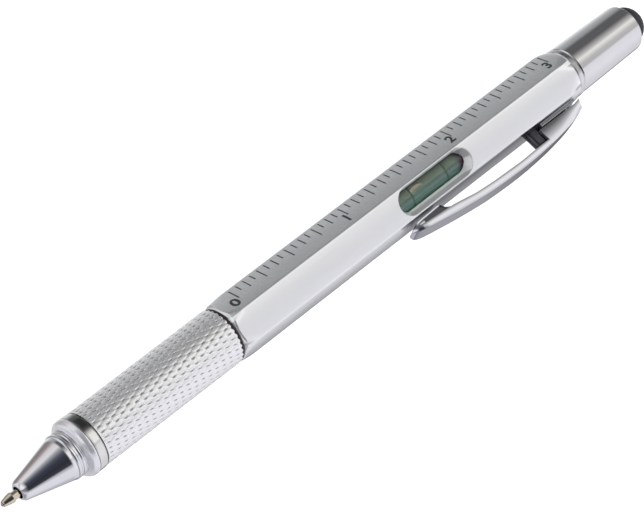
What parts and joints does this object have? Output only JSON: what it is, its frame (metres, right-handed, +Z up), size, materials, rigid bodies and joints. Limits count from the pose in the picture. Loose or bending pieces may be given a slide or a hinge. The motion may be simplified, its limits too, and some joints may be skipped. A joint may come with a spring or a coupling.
{
  "type": "multi tool pen",
  "caption": "Hexagonal metal pen with twist point, inch ruler, spirit level, pocket clip, screwdriver under its rear cap and a soft touch tip.",
  "frame": {"origin": "on the underside flat, straight below the ruler's zero line", "axes": "+X along the pen towards the soft tip, +Z up through the level's window"},
  "size_m": [0.1519, 0.0145, 0.0114],
  "materials": {
    "barrel_aluminium": "satin",
    "knurled_aluminium": "knurled",
    "band_nickel": "polished",
    "nose_chrome": "polished",
    "ring_chrome": "polished",
    "friction_black": "matte",
    "point_nickel_silver": "polished",
    "ball_carbide": "polished",
    "tube_brass": "satin",
    "ink_blue_black": "glossy",
    "spring_steel": "bright wire",
    "sleeve_white": "moulded",
    "core_brass": "turned",
    "plunger_black": "moulded",
    "vial_clear": "clear",
    "fluid_green": "clear green liquid",
    "air_pale": "clear",
    "line_black": "printed",
    "stopper_dark": "moulded",
    "clip_chrome": "polished",
    "pin_steel": "bright",
    "seat_grey": "satin",
    "boss_dark": "dark",
    "holder_steel": "turned",
    "bit_steel": "hardened",
    "cap_chrome": "polished",
    "liner_black": "moulded",
    "stem_grey": "moulded",
    "dome_rubber": "matte"
  },
  "bodies": {
    "barrel": {"hex_barrel": "barrel_aluminium", "guide_sleeve": "sleeve_white", "friction_ring": "friction_black", "vial_tube": "vial_clear", "vial_fluid": "fluid_green", "vial_plug_front": "stopper_dark", "vial_plug_rear": "stopper_dark", "vial_line_front": "line_black", "vial_line_rear": "line_black", "clip_seat": "seat_grey", "clip_boss": "boss_dark", "bit_holder": "holder_steel", "holder_ring": "ring_chrome"},
    "grip": {"knurled_grip": "knurled_aluminium", "grip_band": "band_nickel", "nose_cone": "nose_chrome", "twist_core": "core_brass", "return_spring": "spring_steel"},
    "refill": {"refill_tip": "point_nickel_silver", "refill_tube": "tube_brass", "refill_ink": "ink_blue_black", "cam_plunger": "plunger_black"},
    "ball": {"writing_ball": "ball_carbide"},
    "bubble": {"air_bubble": "air_pale"},
    "clip": {"pocket_clip": "clip_chrome", "clip_pin": "pin_steel"},
    "cap": {"cap_shell": "cap_chrome", "cap_liner": "liner_black", "stylus_core": "stem_grey", "stylus_tip": "dome_rubber"},
    "bit": {"screwdriver_bit": "bit_steel"}
  },
  "joints": [
    {"name": "grip_twist", "type": "hinge", "parent": "barrel", "child": "grip", "pos_m": [0, 0, 0.0049], "axis": [1, 0, 0], "range_deg": [0, 180]},
    {"name": "refill_slide", "type": "slide", "parent": "barrel", "child": "refill", "axis": [1, 0, 0], "range_m": [0, 0.0045], "deforming": ["return_spring"]},
    {"name": "ball_roll", "type": "hinge", "parent": "refill", "child": "ball", "pos_m": [-0.05113, 0, 0.0049], "axis": [0, 1, 0], "continuous": true},
    {"name": "bubble_slide", "type": "slide", "parent": "barrel", "child": "bubble", "axis": [1, 0, 0], "range_m": [-0.0012, 0.0084]},
    {"name": "clip_flex", "type": "hinge", "parent": "barrel", "child": "clip", "pos_m": [0.0746, -0.0052, 0.0079], "axis": [0, 0.5, 0.866], "range_deg": [0, 5], "stiffness_Nm_per_rad": 1.5},
    {"name": "cap_pull", "type": "slide", "parent": "barrel", "child": "cap", "axis": [1, 0, 0], "range_m": [0, 0.04]},
    {"name": "bit_slide", "type": "slide", "parent": "barrel", "child": "bit", "axis": [1, 0, 0], "range_m": [0, 0.024]}
  ],
  "couplings": [
    {"joint": "refill_slide", "follows": "grip_twist", "m_per_rad": 0.001432},
    {"joint": "bit_slide", "follows": "cap_pull", "ratio": 0.6}
  ]
}
